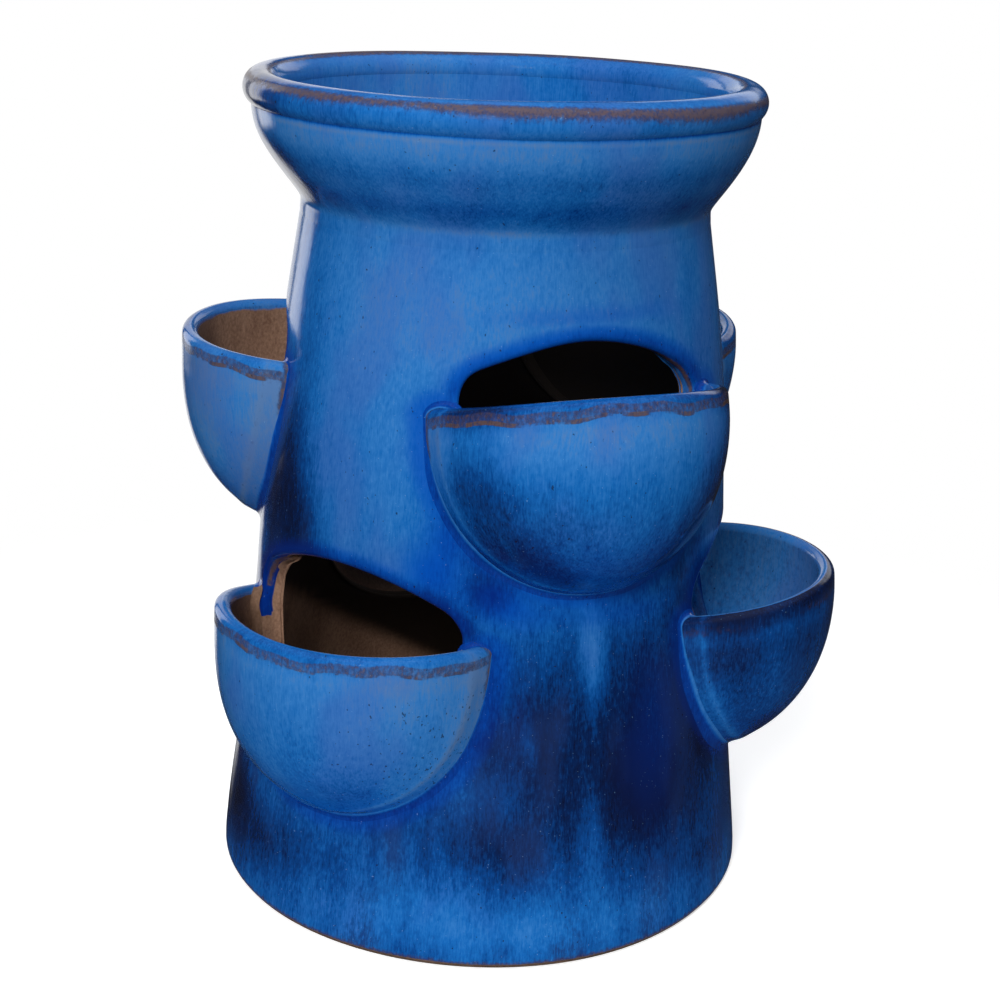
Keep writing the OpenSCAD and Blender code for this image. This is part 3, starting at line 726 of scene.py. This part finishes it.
# The wall: darker low down, blue and brown round the holes, blue along the seams, clay on ledges, cut faces, the
# inside and the foot, painted shade on that clay inside above a slanting painted shadow edge, on ledges, cut faces
# and at the very bottom, and the drip
def wallGlaze(fields):
    turn, z, depth = fields["turn"], fields["z"], fields["depth"]
    tone = jarTone(turn, z) + tones["low"] * (1 - ease(z, 0.16, 0.24))
    pool, clay, brown = clip(sumBells(turn, z, pools), 0, 1), 0 * z, 0 * z
    # Painted shadow inside: the inner clay turns near black above a slanting edge, which stands for a shadow's edge,
    # and stays lit brown below it
    paintedShadowEdge = clip(0.062 + 0.0837 * turnBetween(turn, -2.658), 0, 0.13) * (1 - ease(turnBetween(turn, -1.75), 0, 0.3))
    paintedShade = ease(depth, 0.0075, 0.0098) * (1 - fields["cut"]) * (0.2 + 0.8 * ease(z, paintedShadowEdge, paintedShadowEdge + 0.016))
    points = onJar(turn, wallSurface(turn, z) - depth, z)
    for p in pockets.values():
        away = holeDistance(p, turn, z)
        above = ease(z, p["rim"] - 0.004, p["rim"] + 0.012)
        pool = maximum(pool, 0.9 * above * (1 - ease(away, 0.003, 0.014)) * (depth < 0.005))
        tone = tone + 0.22 * above * (1 - ease(away, 0.004, 0.011)) * (depth < 0.005)
        offset = turnBetween(turn, radians(p["turn"]))
        near = (abs(offset) < 1.1) & (z < p["rim"] + 0.02) & (z > p["rim"] - 0.15) & (depth < 0.001)
        toShell = np.full(z.shape, 1.0)
        toShell[near] = shellDistance(p, points[near], 60)[0]
        pool = maximum(pool, 0.75 * (1 - ease(toShell, 0.003, 0.013)))
        tone = tone + 0.08 * (1 - ease(toShell, 0.0, 0.022))
        brown = maximum(brown, (away < 0.0075) * (above > 0) * bell(depth, 0.0036, 0.0016))
        q, drop = inBowl(p, points)[:2]
        fall = clip((drop - shell["lip"]) / (p["depth"] - shell["lip"]), 0, 1)
        hollow = (p["radius"] - shell["lip"]) * sqrt(1 - fall ** (2 / p["fullness"]))
        ledge = (q < hollow) & (drop > 0.0035) & (abs(offset) < 1.2) & (depth < 0.006)
        ledge = ledge * p["inside"] * ease(drop, 0.0035, 0.006)
        glazed = p["slantRight"] * ease(jar["stations"][2] * offset, 0.036, 0.046)
        here = (away < 0.03) & (fields["cut"] > 0.5)
        clay = maximum(maximum(clay, ledge), here * p["inside"] * ease(depth, 0.004, 0.006) * (1 - glazed))
        paintedShade = maximum(maximum(paintedShade, ledge * p["paintedShade"]), here * p["paintedShadeOnCut"] * (1 - glazed))
        brown = maximum(brown, 0.45 * here * glazed * (depth > 0.004))
    dripAway = np.hypot(turnBetween(turn, drip["turn"]) / 0.05, minimum(z - drip["z"], 0) / drip["tall"])
    inDrip = (1 - ease(dripAway, 0.9, 1.1)) * (1 - ease(depth, 0.0055, 0.007)) * (z < 0.19)
    clay, pool, tone = clay * (1 - inDrip), maximum(pool, 0.9 * inDrip), tone + 0.25 * inDrip
    clay = maximum(maximum(clay, ease(depth, 0.0085, 0.0098)), 1 - ease(z, 0.002, 0.004))
    brown = maximum(brown, 0.7 * (1 - ease(z, 0.003, 0.008)))
    # Painted shade on the clay at the very bottom
    paintedShade = maximum(paintedShade, 0.6 * (1 - ease(z, 0.002, 0.005)))
    return dict(tone=tone, pool=pool, brown=brown, clay=clay, paintedShade=paintedShade, runs=0.25 + 0.75 * ease(z, 0.25, 0.19))


# The collar: the jar's shade with a painted shade line in the crease and a painted highlight line under it, blue at
# the crease, brown in places on the neck's edge, and inside darker towards the neck
def collarGlaze(fields):
    turn, z = fields["turn"], fields["z"]
    outside = fields["share"] < 0.483
    # Painted shade in the crease under the rim, and a painted highlight line just below it
    tone = jarTone(turn, z) + 0.4 * bell(z, 0.4338, 0.001) - 0.16 * bell(z, 0.4308, 0.0012)
    inTone = tones["inside"] + 0.2 * ease(z, 0.42, 0.38) + 0.05 * sin(3 * turn)
    pool = outside * (0.45 * ease(z, 0.4315, 0.4335) + 0.2 * bell(z, 0.396, 0.005))
    brown = 0.4 * bell(z, 0.3848, 0.002) * (0.5 + 0.5 * sin(7 * turn + 4) * sin(3 * turn))
    return dict(tone=np.where(outside, tone, inTone), pool=pool, brown=outside * brown, clay=0 * z, paintedShade=0 * z,
                runs=0.25 + 0 * z)


# The rolled rim: brown bands by the direction that its face looks in, a painted dark reflection at its left end,
# inside like the collar
def beadGlaze(fields):
    turn, z = fields["turn"], fields["z"]
    height, outer = (z - bead["middle"]) / bead["radius"], fields["outer"] / bead["radius"]
    inner, far = ease(-outer, 0.1, 0.7), ease(-cos(turn), 0.1, 0.7)
    face = np.arctan2(height, outer)
    sink = 0.35 * ease(-cos(turn + 1.2), -0.6, 0.6)
    patch = 0.5 + 0.5 * sin(3 * turn + 2) * sin(5 * turn + 1)
    brown = 0.62 * bell(face, 0.78 - sink, 0.34) + 0.75 * bell(face, 1.95, 0.24)
    brown = brown + (0.15 + 0.4 * patch) * bell(face, 0.4 - sink, 0.55)
    brown = maximum(brown, far * bell(face, 1.6, 0.42))
    # A painted dark reflection on the rim's left end, where it turns towards the silhouette
    outTone = tones["bead"] + 0.34 * bell(turnBetween(turn, -1.35), 0, 0.5)
    inTone = tones["inside"] + 0.05 * sin(3 * turn)
    return dict(tone=outTone * (1 - inner) + inTone * inner, pool=0.2 * (height < -0.6) * (1 - inner), brown=brown,
                clay=0 * z, paintedShade=0 * z, runs=0.2 + 0 * z)


# A bowl: darker towards its bottom, banded under the lip, a painted highlight with brown on the ridge beside the seam
# and painted shade a little further out, brown under the lip, at its ends and where it turns in, with clay inside
def bowlGlaze(p, fields):
    drop, zone, round_, gap = fields["drop"], fields["zone"], fields["round"], fields["gap"]
    share, outside, aside = drop / p["depth"], zone < 0.5, abs(round_)
    tone = tones["bowl"] + p["deepen"] * ease(share, 0.15, 1.0) + 0.04 * sin(3 * round_ + p["turn"])
    tone = tone - p["pale"] * (1 - ease(share, 0.15, 0.75)) - p["paleRight"] * ease(round_, 0.2, 1.2)
    tone = tone + 0.12 * bell(drop, 0.0055, 0.003) - 0.08 * bell(drop, 0.014, 0.005)
    # A pale band below the lip, partly thin glaze and partly a painted sheen of the light from above; the lip's top
    # is darker
    tone = tone - p["thinTopAndSheen"] * bell(drop, 0.02, 0.014) + 0.15 * (1 - ease(drop, 0.0015, 0.005))
    # The ridge beside the seam gets a paler painted highlight, brown where the glaze breaks, and less pooled blue
    ridgeSheenAndBreak = bell(gap, 0.01, 0.0018) * ease(aside, 0.25, 0.8)
    # Painted shade on the bowl's sides a little way out from the seam, towards its corner with the wall
    tone = tone - 0.16 * ridgeSheenAndBreak + p["seamPaintedShade"] * bell(gap, 0.022, 0.011) * ease(aside, 0.2, 0.7)
    patch = 0.5 + 0.5 * sin(2.3 * round_ + p["turn"]) * sin(5.1 * round_ + p["rim"] * 90)
    ends = ease(aside, 1.15, 1.6)
    faint = (1 - p["line"]) * (0.25 + 0.35 * patch) * bell(drop, 0.0075, 0.0045)
    corner = 0.85 * bell(gap, 0.0008, 0.0026) * (1 - ease(drop, 0.018, 0.04)) * ends * p["line"]
    brown = outside * maximum.reduce([0.36 * ridgeSheenAndBreak, faint, 0.5 * ends * bell(drop, 0.008, 0.005), corner])
    wobble = 0.001 * sin(6.3 * round_ + p["turn"]) + 0.0006 * sin(17 * round_ + p["rim"] * 50)
    # Inside: lightened by a share of painted light, and darker towards the bottom
    inTone = tones["bowlInside"] - p["paintedLightInside"] + 0.25 * ease(share, 0.3, 0.9)
    return dict(tone=np.where(outside, tone, inTone), pool=0.5 * ease(share, 0.45, 0.95) * outside * (1 - ridgeSheenAndBreak),
                brown=maximum(brown, 0.45 * bell(zone, 0.95, 0.12)),
                clay=ease(zone, 0.8, 0.98) * p["inside"] * ease(drop, 0.001, 0.008),
                paintedShade=p["paintedShade"] + 0 * zone, runs=0.3 + 0 * zone,
                fall=p["line"] * outside * clip((drop - wobble) / 0.01, 0, 1.5),
                pits=outside * p["pits"] * ease(round_, 0.25, 1.2) * ease(drop, 0.01, 0.03))


# A coil: pooled blue by the wall, thinner and brownish towards the bowl, clay past the lip
def coilGlaze(p, fields):
    share, past = fields["share"], fields["past"]
    ridge = ease(share, 0.55, 0.85) * (1 - past)
    return dict(tone=tones["coil"] - 0.4 * ridge + 0.14 * bell(share, 0.97, 0.05), pool=0.9 - 0.75 * ridge,
                brown=0.2 * ridge, clay=past * p["inside"], paintedShade=p["paintedShade"] + 0 * share, runs=0.3 + 0 * share)


# Adds nodes to a material's or world's tree: sockets are linked, numbers and colours are set
class Nodes:
    def __init__(self, owner, place="Object"):
        owner.use_nodes = True
        self.tree = owner.node_tree
        self.tree.nodes.clear()
        self.place = self.add("TexCoord").outputs[place]

    def add(self, kind, sockets=None, **settings):
        node = self.tree.nodes.new("ShaderNode" + kind)
        for key, value in settings.items():
            setattr(node, key, value)
        for key, value in (sockets or {}).items():
            if isinstance(value, bpy.types.NodeSocket):
                self.tree.links.new(value, node.inputs[key])
            else:
                node.inputs[key].default_value = value
        return node

    # One operation over all terms, from the first to the last
    def chain(self, operation, *terms):
        total = terms[0]
        for term in terms[1:]:
            total = self.add("Math", {0: total, 1: term}, operation=operation).outputs[0]
        return total

    def plus(self, *terms):
        return self.chain("ADD", *terms)

    def times(self, *terms):
        return self.chain("MULTIPLY", *terms)

    # A noise less its middle, times an amount
    def sway(self, noise, amount):
        return self.times(self.plus(noise, -0.5), amount)

    # An S-curve from bottom at low to top at high
    def rise(self, value, low, high, bottom=0.0, top=1.0):
        return self.add("MapRange", {0: value, 1: low, 2: high, 3: bottom, 4: top},
                        interpolation_type="SMOOTHSTEP").outputs[0]

    def mix(self, share, a, b):
        a, b = ((*colour, 1) if isinstance(colour, tuple) else colour for colour in (a, b))
        return self.add("Mix", {0: share, 6: a, 7: b}, data_type="RGBA").outputs[2]

    def ramp(self, value, stops):
        node = self.add("ValToRGB", {0: value})
        edges = node.color_ramp.elements
        while len(edges) < len(stops):
            edges.new(0.5)
        for edge, (at, colour) in zip(edges, stops):
            edge.position, edge.color = at, (*colour, 1)
        return node.outputs[0]

    def noise(self, scale, detail, rough, shift=(0, 0, 0)):
        mapped = self.add("Mapping", {"Vector": self.place, "Scale": scale, "Location": shift}).outputs[0]
        return self.add("TexNoise", {"Vector": mapped, "Scale": 1.0, "Detail": detail, "Roughness": rough}).outputs[0]

    def field(self, key):
        return self.add("Attribute", attribute_name=key).outputs["Fac"]

    def bump(self, strength, distance, height, under=None):
        sockets = {"Strength": strength, "Distance": distance, "Height": height}
        return self.add("Bump", sockets | ({"Normal": under} if under else {})).outputs[0]

    def surface(self, colour, rough, bump):
        shader = self.add("BsdfPrincipled", {"Base Color": colour, "Roughness": rough, "Normal": bump})
        self.add("OutputMaterial", {0: shader.outputs[0]})


glaze = dict(
    thin=(0.09, 0.2, 0.43), milky=(0.032, 0.185, 0.52), blue=(0.008, 0.13, 0.45), deep=(0.002, 0.055, 0.25),
    navy=(0.002, 0.016, 0.085), ink=(0.003, 0.006, 0.028), slate=(0.05, 0.105, 0.39), violet=(0.014, 0.034, 0.13),
    pool=(0.001, 0.075, 0.44), poolDeep=(0.001, 0.022, 0.2), brown=(0.11, 0.058, 0.026),
    plum=(0.04, 0.036, 0.078), umber=(0.03, 0.022, 0.026), speck=(0.22, 0.42, 0.64), pit=(0.01, 0.008, 0.01),
    clay=(0.15, 0.08, 0.052), clayLight=(0.33, 0.2, 0.135), clayInPaintedShade=(0.009, 0.006, 0.0045),
)
shades = dict(thin=0.1, milky=0.3, blue=0.48, deep=0.68, navy=0.85, ink=1.0)
noises = dict(  # how fine along x, y and z, detail, roughness, shift
    streak=((1100, 1100, 150), 3, 0.6), mottle=((420, 420, 300), 4, 0.65, (6, 2, 9)),
    drip=((190, 190, 26), 3, 0.6, (3, 1, 7)), blotch=((42, 42, 17), 4, 0.62, (1, 5, 2)),
    broad=((11, 11, 8), 2, 0.5, (7, 2, 3)), long=((60, 60, 6), 4, 0.62, (2, 6, 4)),
    slate=((24, 24, 15), 2, 0.5, (5, 9, 1)), violet=((26, 26, 9), 2, 0.5, (3, 3, 6)),
    grit=((700, 700, 500), 2, 0.6, (4, 4, 1)), speck=((900, 900, 900), 1, 0.5, (9, 3, 5)),
    pin=((520, 520, 380), 1, 0.5, (2, 8, 4)), peel=((130, 130, 90), 2, 0.5, (5, 5, 5)),
    swell=((30, 30, 22), 1, 0.5, (8, 1, 2)),
)
sways = dict(streak=0.4, mottle=0.28, drip=0.15, blotch=0.3, broad=0.22)


# The glaze: a shade, the tone field plus six noises, gives the blue. Over it come slate and violet drifts, pools,
# the brown line under a lip and its haze, brown breaks, pale specks, pinholes, and clay, near black where shade is
# painted.
def glazeMaterial(name):
    material = bpy.data.materials.new(name)
    nodes = Nodes(material)
    plus, times, sway, rise, mix, field = nodes.plus, nodes.times, nodes.sway, nodes.rise, nodes.mix, nodes.field
    noise = {key: nodes.noise(*settings) for key, settings in noises.items()}
    shade = plus(*(sway(noise[key], amount) for key, amount in sways.items()), field("tone"),
                 sway(noise["long"], times(field("runs"), 0.3)))
    colour = nodes.ramp(shade, [(at, glaze[key]) for key, at in shades.items()])
    slate = times(rise(noise["slate"], 0.46, 0.66, 0.0, 0.32), rise(shade, 0.62, 0.42))
    colour = mix(slate, colour, glaze["slate"])
    violet = times(rise(noise["violet"], 0.5, 0.68), field("runs"), rise(shade, 0.45, 0.65), 0.55)
    colour = mix(violet, colour, glaze["violet"])
    pool = times(field("pool"), rise(plus(noise["blotch"], field("pool")), 0.5, 0.9, 0.4, 1.0))
    colour = mix(pool, colour, mix(rise(shade, 0.4, 0.95), glaze["pool"], glaze["poolDeep"]))

    fall = field("fall")
    line = times(rise(fall, 0.66, 0.8), rise(fall, 1.06, 0.92), rise(noise["blotch"], 0.4, 0.62, 0.25, 1.0))
    haze = times(rise(fall, 0.24, 0.42), rise(fall, 0.96, 0.84, 0.0, 0.62))
    breaks = nodes.chain("MAXIMUM", field("brown"), line, haze)
    brown = times(rise(plus(breaks, sway(noise["mottle"], 0.8)), 0.3, 0.8), rise(breaks, 0.02, 0.2))
    brownColour = mix(rise(plus(breaks, sway(noise["grit"], 1.4)), 0.55, 0.95), glaze["plum"], glaze["brown"])
    brownColour = mix(rise(noise["streak"], 0.52, 0.68, 0.0, 0.7), brownColour, glaze["umber"])
    colour = mix(times(brown, 0.85), colour, brownColour)

    colour = mix(times(rise(noise["speck"], 0.76, 0.785), 0.35), colour, glaze["speck"])
    pin = rise(plus(noise["pin"], times(field("pits"), 0.085)), 0.755, 0.775)
    colour = mix(times(pin, 0.7), colour, glaze["pit"])
    clay = rise(plus(field("clay"), sway(noise["blotch"], 0.5)), 0.42, 0.58)
    clayColour = nodes.ramp(plus(times(noise["grit"], 0.5), times(noise["blotch"], 0.5)),
                            [(0.35, glaze["clay"]), (0.65, glaze["clayLight"])])
    # The clay goes near black where shade is painted on it
    colour = mix(clay, colour, mix(field("paintedShade"), clayColour, glaze["clayInPaintedShade"]))

    rough = plus(times(noise["blotch"], 0.1), 0.07)
    rough = nodes.chain("MAXIMUM", rough, times(brown, 0.32), times(clay, 0.78))
    swell = nodes.bump(0.55, 0.0016, noise["swell"])
    peel = nodes.bump(0.3, 0.0004, noise["peel"], swell)
    grit = nodes.bump(0.12, 0.0002, plus(noise["streak"], times(noise["grit"], clay, 5.0)), peel)
    nodes.surface(colour, rough, grit)
    return material


# Bare clay: a ramp over fine grit and broad patches
def clayMaterial():
    material = bpy.data.materials.new("bareClay")
    nodes = Nodes(material)
    grit, patch = nodes.noise((700, 700, 700), 3, 0.6), nodes.noise((60, 60, 60), 3, 0.6, (1, 2, 3))
    value = nodes.plus(nodes.times(grit, 0.5), nodes.times(patch, 0.5))
    stops = [(0.35, (0.05, 0.03, 0.022)), (0.55, (0.12, 0.072, 0.048)), (0.72, (0.22, 0.14, 0.095))]
    nodes.surface(nodes.ramp(value, stops), nodes.rise(patch, 0.3, 0.7, 0.7, 0.9), nodes.bump(0.5, 0.0004, grit))
    return material


cobaltGlaze = glazeMaterial("cobaltGlaze")
pooledGlaze = glazeMaterial("pooledGlaze")
bareClay = clayMaterial()
print("materials ready")


# Makes a piece with its material, hangs it under the root, and hides the frame's nodes that it stands for
def finishPiece(name, solid, fields, material, slotName, *nodes, normals=None):
    piece = makeObject(name, *solid[:3], fields, normals)
    piece.data.materials.append(material)
    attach(piece, "root")
    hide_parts(*nodes)
    print("piece", piece.name, len(piece.data.polygons), "faces")


for name, solid, normals in buildWall():
    finishPiece(name, solid, wallGlaze(solid[3]), cobaltGlaze, "cobalt_glaze", name[:10], normals=normals)

solid = buildRing(collarLoop)
finishPiece("collar_flared", solid, collarGlaze(solid[3]), cobaltGlaze, "cobalt_glaze", "collar")

solid = buildRing(beadLoop)
outer = np.hypot(solid[0][:, 0], solid[0][:, 1]) - bead["centre"]
finishPiece("rim_rolled", solid, beadGlaze(solid[3] | dict(outer=outer)), cobaltGlaze, "cobalt_glaze", "rim_bead")

for name, p in pockets.items():
    solid = buildBowl(p)
    finishPiece("bowl_" + name, solid, bowlGlaze(p, solid[3]), cobaltGlaze, "cobalt_glaze", "pocket_" + name)
    solid = buildCoil(p)
    finishPiece("fillet_" + name, solid, coilGlaze(p, solid[3]), pooledGlaze, "pooled_glaze", "coil_" + name)

solid = buildRing(footLoop)
finishPiece("foot_ring_bare", solid, dict(z=solid[0][:, 2]), bareClay, "bare_clay", "foot_ring")

floorSlab = bpy.data.objects["floor_slab"]
floorSlab.data.materials.clear()
floorSlab.data.materials.append(bareClay)


view = dict(place=(0.0, -0.95985, 0.541485), pitch=0.3314, yaw=0.0041, roll=0.0355, lens=63.79)


# Adds an object at a place, turned so that its x, y and z point along three directions
def placeObject(name, data, right, up, back, place):
    made = bpy.data.objects.new(name, data)
    matrix = np.eye(4)
    matrix[:3, 0], matrix[:3, 1], matrix[:3, 2], matrix[:3, 3] = right, up, back, place
    made.matrix_world = Matrix(matrix.tolist())
    bpy.context.scene.collection.objects.link(made)
    return made


# The camera looks down by its pitch and aside by its yaw, and rolls about its line of sight
def buildCamera():
    pitch, yaw, roll = view["pitch"], view["yaw"], view["roll"]
    ahead = array([sin(yaw) * cos(pitch), cos(yaw) * cos(pitch), -sin(pitch)])
    right = array([cos(yaw), -sin(yaw), 0])
    up = np.cross(right, ahead)
    right, up = cos(roll) * right + sin(roll) * up, -sin(roll) * right + cos(roll) * up
    data = bpy.data.cameras.new("camera")
    data.lens, data.sensor_width, data.clip_start, data.clip_end = view["lens"], 36, 0.01, 50
    bpy.context.scene.camera = placeObject("camera", data, right, up, -ahead, view["place"])


buildCamera()


lampTarget = (0, 0, 0.23)
lamps = dict(  # place, width, height, watts, colour
    key=((-0.38, -1.75, 1.3), 0.6, 0.6, 36, (1.0, 0.99, 0.97)),
    stripLeft=((-1.17, 0.94, 0.38), 0.16, 1.16, 1.6, (1.0, 1.0, 1.0)),
    fill=((1.5, -1.5, 0.9), 1.2, 1.2, 1.6, (0.95, 0.97, 1.0)),
    top=((0.15, -0.35, 1.9), 2.0, 0.4, 12, (1.0, 1.0, 1.0)),
    backRight=((1.45, 1.35, 1.15), 1.4, 1.4, 13, (1.0, 1.0, 1.0)),
    backLeft=((-1.2, 1.6, 1.15), 1.4, 1.4, 9, (1.0, 1.0, 1.0)),
)


# A lamp faces the jar's middle, and doesn't show in reflections
def buildLamp(name, place, width, height, watts, colour):
    lamp = bpy.data.lights.new(name, "AREA")
    lamp.shape, lamp.size, lamp.size_y, lamp.energy, lamp.color = "RECTANGLE", width, height, watts, colour
    back = unit(array(place) - array(lampTarget))
    right = unit(np.cross([0, 0, 1.0], back))
    placeObject(name, lamp, right, np.cross(back, right), back, place).visible_glossy = False


for name, settings in lamps.items():
    buildLamp(name, *settings)


# White to the camera, a dim dome to the surfaces. Reflections see a window behind at the left with a slanting edge,
# one at the right, a bright panel at the far left and soft light above. Aside is an angle from behind to the left.
def buildWorld():
    world = bpy.data.worlds.new("studio")
    bpy.context.scene.world = world
    nodes = Nodes(world, "Generated")
    plus, times, rise = nodes.plus, nodes.times, nodes.rise
    part = nodes.add("SeparateXYZ", {0: nodes.place}).outputs
    height = part["Z"]
    aside = nodes.chain("ARCTAN2", times(part["X"], -1.0), part["Y"])
    fromEdge = nodes.chain("SUBTRACT", aside, rise(height, 0.05, 0.15, -0.06, 0.07))
    window = times(rise(fromEdge, -0.04, 0.04), rise(aside, 0.49, 0.46), rise(height, -0.46, -0.38))
    rightWindow = times(rise(aside, -0.09, -0.14), rise(aside, -0.8, -0.6), rise(height, 0.12, 0.22))
    panel = times(rise(aside, 0.55, 0.58), rise(aside, 0.92, 0.84, 0.0, 1.7), rise(height, -0.27, -0.2))
    below, above = rise(height, 0.55, 0.35), rise(height, 0.3, 1.0, 0.02, 0.22)
    shine = plus(times(plus(window, rightWindow, panel), below), above)
    light = lambda colour, strength: nodes.add("Background", {0: (*colour, 1), 1: strength}).outputs[0]
    switch = lambda share, a, b: nodes.add("MixShader", {0: share, 1: a, 2: b}).outputs[0]
    ray = nodes.add("LightPath").outputs
    isShine = nodes.chain("MAXIMUM", ray["Is Glossy Ray"], ray["Is Transmission Ray"])
    mixed = switch(isShine, light((0.9, 0.95, 1.0), 0.12), light((1, 1, 1), shine))
    mixed = switch(ray["Is Camera Ray"], mixed, light((1, 1, 1), 1.0))
    nodes.add("OutputWorld", {0: mixed})


buildWorld()

disc = dict(radius=1.1, z=-0.0003, rings=24, columns=96, grey=0.86, lift=0.5, fadeFrom=0.3, fadeTo=0.62)


# A flat pale disc under the jar that fades out into the white behind it
def buildFloor():
    r = disc["radius"] * linspace(0, 1, disc["rings"])[:, None]
    turns = 2 * pi * np.arange(disc["columns"]) / disc["columns"]
    sheet = Sheet()
    sheet.add(onJar(turns + 0 * r, r + 0 * turns, disc["z"]), {}, closed=True)
    floor = makeObject("floor", *sheet.arrays())
    material = bpy.data.materials.new("paleFloor")
    nodes = Nodes(material)
    far = nodes.add("VectorMath", {0: nodes.place}, operation="LENGTH").outputs["Value"]
    toCamera = nodes.add("LightPath").outputs["Is Camera Ray"]
    pale = nodes.add("BsdfDiffuse", {0: (disc["grey"], disc["grey"], disc["grey"], 1)})
    lift = nodes.add("Emission", {0: (1, 1, 1, 1), 1: nodes.times(toCamera, disc["lift"])})
    lit = nodes.add("AddShader", {0: pale.outputs[0], 1: lift.outputs[0]})
    share = nodes.rise(far, disc["fadeFrom"], disc["fadeTo"])
    clear = nodes.add("BsdfTransparent")
    mixed = nodes.add("MixShader", {0: share, 1: lit.outputs[0], 2: clear.outputs[0]})
    nodes.add("OutputMaterial", {0: mixed.outputs[0]})
    floor.data.materials.append(material)
    floor.visible_glossy = False


buildFloor()
bpy.context.scene.view_settings.view_transform = "Standard"
print("studio ready")
